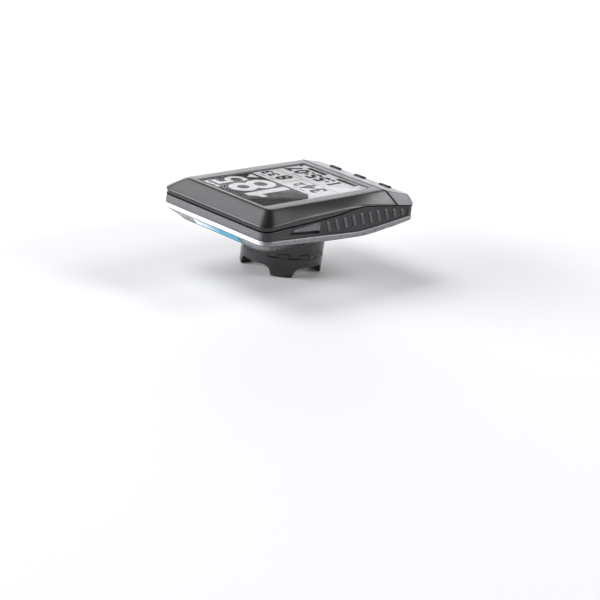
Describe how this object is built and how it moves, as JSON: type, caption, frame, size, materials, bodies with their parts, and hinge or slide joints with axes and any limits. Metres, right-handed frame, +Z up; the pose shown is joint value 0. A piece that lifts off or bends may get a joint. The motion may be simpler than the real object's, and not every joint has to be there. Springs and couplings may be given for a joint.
{
  "type": "cycling computer",
  "caption": "Slim rectangular cycling computer with a monochrome display, press buttons and a sealed case, locked by a quarter turn onto a round stem mount with four grip feet.",
  "frame": {"origin": "centre of the flat crown under the stem mount, where it faces the stem", "axes": "+Y towards the front of the computer and the direction of travel, +X to the rider's right, +Z up out of the display"},
  "size_m": [0.0576, 0.09, 0.0344],
  "materials": {
    "housing": "fine moulded texture, satin",
    "underside": "fine moulded texture",
    "rubber": "fine grained rubber",
    "button": "matte",
    "panel": "textured inlay",
    "accent": "semi-gloss",
    "glass": "clear, low glare",
    "lcd": "reflective monochrome display",
    "clear_plastic": "clear moulded",
    "board": "solder mask over glass laminate",
    "component": "moulded epoxy",
    "metal": "bright stamped steel",
    "ceramic": "unglazed",
    "battery": "foil pouch",
    "foam": "closed-cell foam",
    "flex": "polyimide film",
    "mount": "glass-filled nylon, satin gloss"
  },
  "bodies": {
    "stem_mount": {"mount_base": "mount", "mount_ring": "mount", "ring_screw_1": "metal", "ring_screw_2": "metal", "grip_pad_1": "rubber", "grip_pad_2": "rubber", "grip_pad_3": "rubber", "grip_pad_4": "rubber"},
    "computer": {"top_housing": "housing", "rear_button_cover": "rubber", "bottom_housing": "underside", "case_gasket": "rubber", "side_panel_left": "panel", "side_panel_right": "panel", "front_accent": "accent", "vent_membrane": "foam", "window_glass": "glass", "window_seal": "foam", "lcd_panel": "lcd", "backlight": "clear_plastic", "display_frame": "metal", "display_flex": "flex", "led_board": "board", "light_guide": "clear_plastic", "main_board": "board", "rf_shield": "metal", "gps_antenna": "ceramic", "radio_module": "metal", "pressure_sensor": "metal", "buzzer": "component", "usb_socket": "metal", "battery_connector": "ceramic", "battery_lead": "component", "battery_pack": "battery", "battery_pad": "foam", "button_board": "board", "face_switch_right": "component", "face_switch_centre": "component", "face_switch_left": "component", "power_switch": "component", "zoom_switch_front": "component", "zoom_switch_rear": "component", "case_screw_1": "metal", "case_screw_2": "metal", "case_screw_3": "metal", "case_screw_4": "metal", "case_screw_5": "metal", "case_screw_6": "metal", "insert_screw_1": "metal", "insert_screw_2": "metal", "mount_insert": "mount"},
    "power_button": {"power_button": "housing"},
    "zoom_button_front": {"zoom_button_front": "housing"},
    "zoom_button_rear": {"zoom_button_rear": "housing"},
    "face_button_left": {"face_button_left": "button"},
    "face_button_centre": {"face_button_centre": "button"},
    "face_button_right": {"face_button_right": "button"},
    "usb_flap": {"usb_flap": "rubber"}
  },
  "joints": [
    {"name": "quarter_turn", "type": "hinge", "parent": "stem_mount", "child": "computer", "pos_m": [0, 0, 0.0135], "axis": [0, 0, 1], "range_deg": [0, 90]},
    {"name": "power_press", "type": "slide", "parent": "computer", "child": "power_button", "axis": [1, 0, 0], "range_m": [0, 0.0005], "stiffness_N_per_m": 400},
    {"name": "zoom_front_press", "type": "slide", "parent": "computer", "child": "zoom_button_front", "axis": [-1, 0, 0], "range_m": [0, 0.0005], "stiffness_N_per_m": 400},
    {"name": "zoom_rear_press", "type": "slide", "parent": "computer", "child": "zoom_button_rear", "axis": [-1, 0, 0], "range_m": [0, 0.0005], "stiffness_N_per_m": 400},
    {"name": "face_left_press", "type": "slide", "parent": "computer", "child": "face_button_left", "axis": [0, 0.2079, -0.9781], "range_m": [0, 0.0005], "stiffness_N_per_m": 400},
    {"name": "face_centre_press", "type": "slide", "parent": "computer", "child": "face_button_centre", "axis": [0, 0.2079, -0.9781], "range_m": [0, 0.0005], "stiffness_N_per_m": 400},
    {"name": "face_right_press", "type": "slide", "parent": "computer", "child": "face_button_right", "axis": [0, 0.2079, -0.9781], "range_m": [0, 0.0005], "stiffness_N_per_m": 400},
    {"name": "usb_flap_hinge", "type": "hinge", "parent": "computer", "child": "usb_flap", "pos_m": [0, -0.0469, 0.0186], "axis": [1, 0, 0], "range_deg": [0, 100]}
  ]
}
